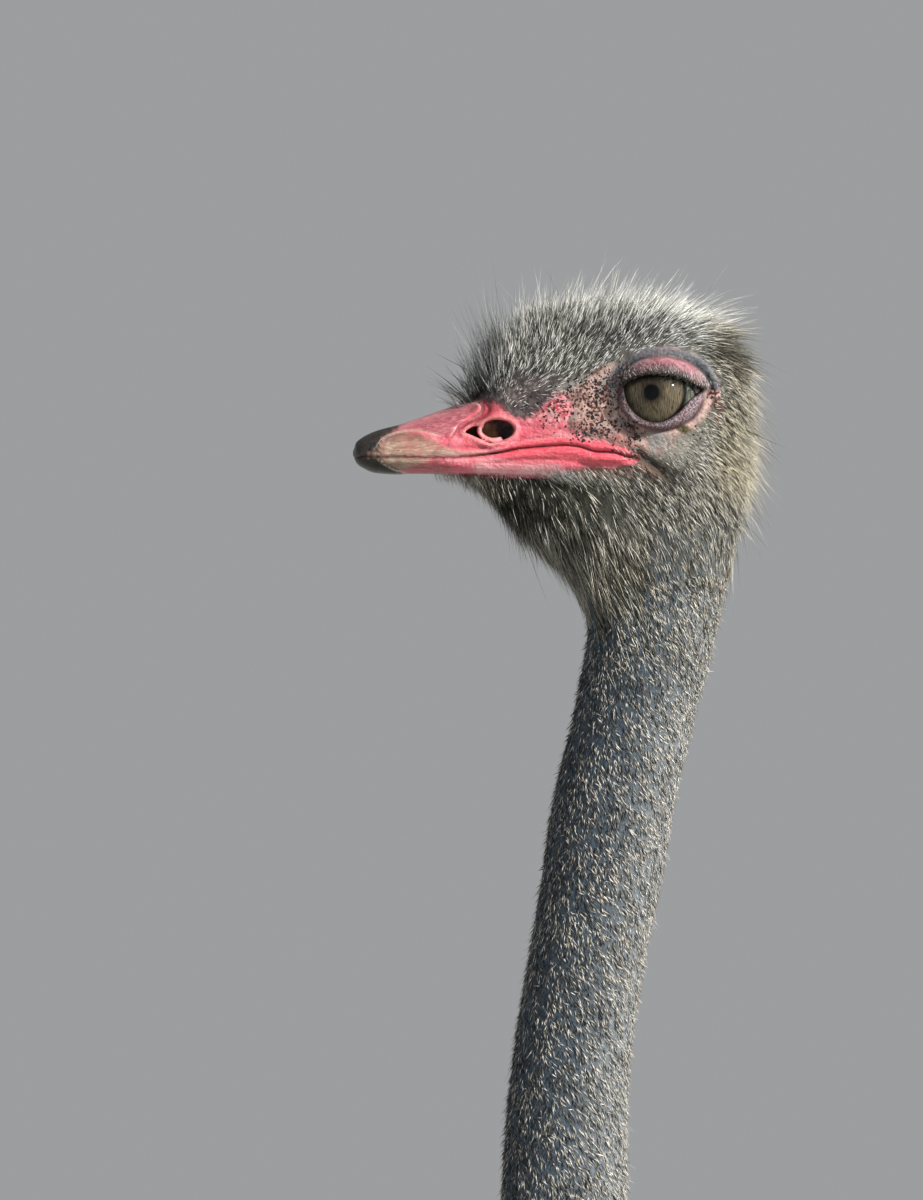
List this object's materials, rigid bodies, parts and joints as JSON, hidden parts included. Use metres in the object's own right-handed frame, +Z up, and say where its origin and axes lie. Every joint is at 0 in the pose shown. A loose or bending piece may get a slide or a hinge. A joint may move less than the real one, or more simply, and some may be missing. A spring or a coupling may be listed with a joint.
{
  "type": "ostrich",
  "caption": "Life-size standing adult male ostrich with a raised neck, level head, folded wings, drooping plumes and two-toed feet, as a still display model.",
  "frame": {"origin": "on the ground, at the centre of the bird's outline seen from above", "axes": "+Z up, the bird faces -Y, its left side is +X"},
  "size_m": [0.6424, 1.3027, 2.3768],
  "materials": {
    "grey_down": "short bristly down over blue-grey skin",
    "pink_bill": "satin pink horn and skin",
    "eye": "wet brown iris under a clear cornea",
    "black_plumage": "loose black plumes",
    "white_plume": "soft white wing plumes",
    "tail_plume": "off-white tail plumes tinged with brown",
    "leg_skin": "bare pink-grey skin",
    "scute_red": "scaled grey skin with red-pink scutes in front",
    "claw_horn": "worn dark horn"
  },
  "bodies": {
    "root": {"head": "grey_down", "upper_bill": "pink_bill", "lower_bill": "pink_bill", "eye_left": "eye", "eye_right": "eye", "neck_upper": "grey_down", "neck_middle_upper": "grey_down", "neck_middle_lower": "grey_down", "neck_base": "grey_down", "trunk": "black_plumage", "wing_left": "black_plumage", "wing_right": "black_plumage", "plumes_left": "white_plume", "plumes_right": "white_plume", "tail": "tail_plume", "drumstick_left": "leg_skin", "drumstick_right": "leg_skin", "shank_left": "scute_red", "shank_right": "scute_red", "toe_inner_left": "scute_red", "toe_inner_right": "scute_red", "toe_outer_left": "scute_red", "toe_outer_right": "scute_red", "claw_left": "claw_horn", "claw_right": "claw_horn"}
  },
  "joints": []
}
